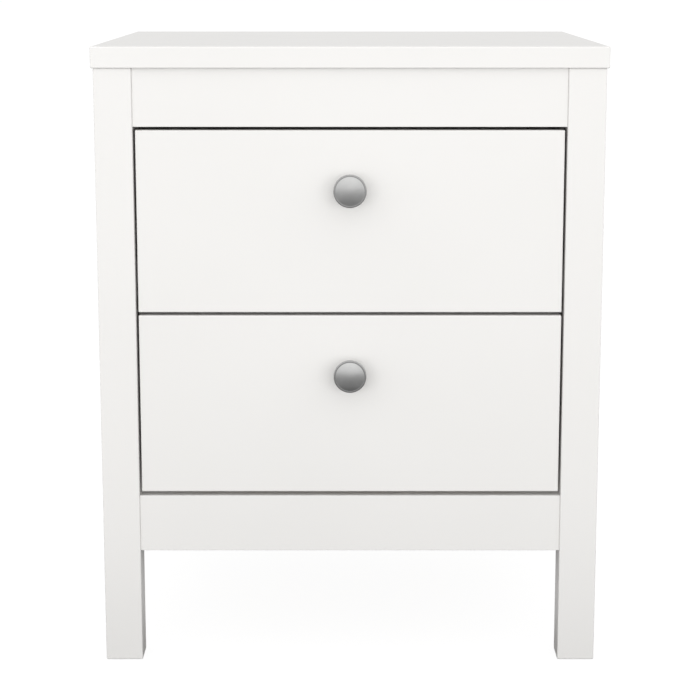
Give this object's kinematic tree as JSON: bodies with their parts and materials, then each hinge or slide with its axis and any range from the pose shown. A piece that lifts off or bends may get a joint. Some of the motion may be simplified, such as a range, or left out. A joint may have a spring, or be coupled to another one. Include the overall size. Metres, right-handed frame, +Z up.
{
  "type": "nightstand with drawers",
  "caption": "White nightstand: square legs, rails and set-in side panels carry a flat top, with inset drawers on roller runners and round satin metal knobs.",
  "frame": {"origin": "on the floor, at the centre of the whole outline in plan, knobs included", "axes": "+Z up; drawers open towards -Y; +X to the right as seen from the front"},
  "size_m": [0.434, 0.4004, 0.536],
  "materials": {
    "white_board": "matt white foil on chipboard and MDF, slightly warm, smooth with a very fine texture and eased edges",
    "drawer_board": "matt white foil on thin chipboard drawer sides",
    "hardboard": "thin hardboard, white on its inner face, raw brown on its outer face",
    "satin_knob": "satin nickel plating, fine turned texture on the domed face, a little duller on the rim",
    "runner_steel": "smooth white epoxy powder coat on folded steel",
    "nylon": "white nylon, slightly translucent, satin",
    "zinc_steel": "bright zinc plated steel",
    "cam_zinc": "die-cast zinc, dull grey",
    "beech": "plain turned beech"
  },
  "bodies": {
    "carcass": {"top_panel": "white_board", "leg_front_left": "white_board", "leg_front_right": "white_board", "leg_rear_left": "white_board", "leg_rear_right": "white_board", "side_panel_left": "white_board", "side_panel_right": "white_board", "apron_rail": "white_board", "lower_front_rail": "white_board", "rear_top_rail": "white_board", "rear_bottom_rail": "white_board", "back_panel": "hardboard", "back_panel_nails": "zinc_steel", "carcass_dowels": "beech", "carcass_cam_bolts": "zinc_steel", "carcass_cam_locks": "cam_zinc", "runner_upper_left": "runner_steel", "runner_upper_right": "runner_steel", "runner_lower_left": "runner_steel", "runner_lower_right": "runner_steel", "runner_screws": "zinc_steel", "runner_axles": "zinc_steel"},
    "upper_drawer": {"upper_drawer_front": "white_board", "upper_drawer_side_left": "drawer_board", "upper_drawer_side_right": "drawer_board", "upper_drawer_back": "drawer_board", "upper_drawer_bottom": "hardboard", "upper_knob": "satin_knob", "upper_knob_screw": "zinc_steel", "upper_slide_left": "runner_steel", "upper_slide_right": "runner_steel", "upper_slide_axles": "zinc_steel", "upper_slide_screws": "zinc_steel", "upper_cam_bolts": "zinc_steel", "upper_cam_locks": "cam_zinc", "upper_back_screws": "zinc_steel"},
    "lower_drawer": {"lower_drawer_front": "white_board", "lower_drawer_side_left": "drawer_board", "lower_drawer_side_right": "drawer_board", "lower_drawer_back": "drawer_board", "lower_drawer_bottom": "hardboard", "lower_knob": "satin_knob", "lower_knob_screw": "zinc_steel", "lower_slide_left": "runner_steel", "lower_slide_right": "runner_steel", "lower_slide_axles": "zinc_steel", "lower_slide_screws": "zinc_steel", "lower_cam_bolts": "zinc_steel", "lower_cam_locks": "cam_zinc", "lower_back_screws": "zinc_steel"},
    "upper_left_front_roller": {"upper_left_front_roller": "nylon"},
    "upper_left_rear_roller": {"upper_left_rear_roller": "nylon"},
    "upper_right_front_roller": {"upper_right_front_roller": "nylon"},
    "upper_right_rear_roller": {"upper_right_rear_roller": "nylon"},
    "lower_left_front_roller": {"lower_left_front_roller": "nylon"},
    "lower_left_rear_roller": {"lower_left_rear_roller": "nylon"},
    "lower_right_front_roller": {"lower_right_front_roller": "nylon"},
    "lower_right_rear_roller": {"lower_right_rear_roller": "nylon"}
  },
  "joints": [
    {"name": "upper_drawer_slide", "type": "slide", "parent": "carcass", "child": "upper_drawer", "axis": [0, -1, 0], "range_m": [0, 0.26]},
    {"name": "lower_drawer_slide", "type": "slide", "parent": "carcass", "child": "lower_drawer", "axis": [0, -1, 0], "range_m": [0, 0.26]},
    {"name": "upper_left_front_roller_spin", "type": "hinge", "parent": "carcass", "child": "upper_left_front_roller", "pos_m": [-0.17755, -0.14875, 0.3377], "axis": [1, 0, 0], "range_deg": [0, 1420]},
    {"name": "upper_left_rear_roller_spin", "type": "hinge", "parent": "upper_drawer", "child": "upper_left_rear_roller", "pos_m": [-0.17595, 0.17705, 0.3336], "axis": [1, 0, 0], "range_deg": [0, 1420]},
    {"name": "upper_right_front_roller_spin", "type": "hinge", "parent": "carcass", "child": "upper_right_front_roller", "pos_m": [0.17755, -0.14875, 0.3377], "axis": [1, 0, 0], "range_deg": [0, 1420]},
    {"name": "upper_right_rear_roller_spin", "type": "hinge", "parent": "upper_drawer", "child": "upper_right_rear_roller", "pos_m": [0.17595, 0.17705, 0.3336], "axis": [1, 0, 0], "range_deg": [0, 1420]},
    {"name": "lower_left_front_roller_spin", "type": "hinge", "parent": "carcass", "child": "lower_left_front_roller", "pos_m": [-0.17755, -0.14875, 0.1795], "axis": [1, 0, 0], "range_deg": [0, 1420]},
    {"name": "lower_left_rear_roller_spin", "type": "hinge", "parent": "lower_drawer", "child": "lower_left_rear_roller", "pos_m": [-0.17595, 0.17705, 0.1754], "axis": [1, 0, 0], "range_deg": [0, 1420]},
    {"name": "lower_right_front_roller_spin", "type": "hinge", "parent": "carcass", "child": "lower_right_front_roller", "pos_m": [0.17755, -0.14875, 0.1795], "axis": [1, 0, 0], "range_deg": [0, 1420]},
    {"name": "lower_right_rear_roller_spin", "type": "hinge", "parent": "lower_drawer", "child": "lower_right_rear_roller", "pos_m": [0.17595, 0.17705, 0.1754], "axis": [1, 0, 0], "range_deg": [0, 1420]}
  ],
  "couplings": [
    {"joint": "upper_left_front_roller_spin", "follows": "upper_drawer_slide", "rad_per_m": 95.238},
    {"joint": "upper_left_rear_roller_spin", "follows": "upper_drawer_slide", "rad_per_m": 95.238},
    {"joint": "upper_right_front_roller_spin", "follows": "upper_drawer_slide", "rad_per_m": 95.238},
    {"joint": "upper_right_rear_roller_spin", "follows": "upper_drawer_slide", "rad_per_m": 95.238},
    {"joint": "lower_left_front_roller_spin", "follows": "lower_drawer_slide", "rad_per_m": 95.238},
    {"joint": "lower_left_rear_roller_spin", "follows": "lower_drawer_slide", "rad_per_m": 95.238},
    {"joint": "lower_right_front_roller_spin", "follows": "lower_drawer_slide", "rad_per_m": 95.238},
    {"joint": "lower_right_rear_roller_spin", "follows": "lower_drawer_slide", "rad_per_m": 95.238}
  ]
}
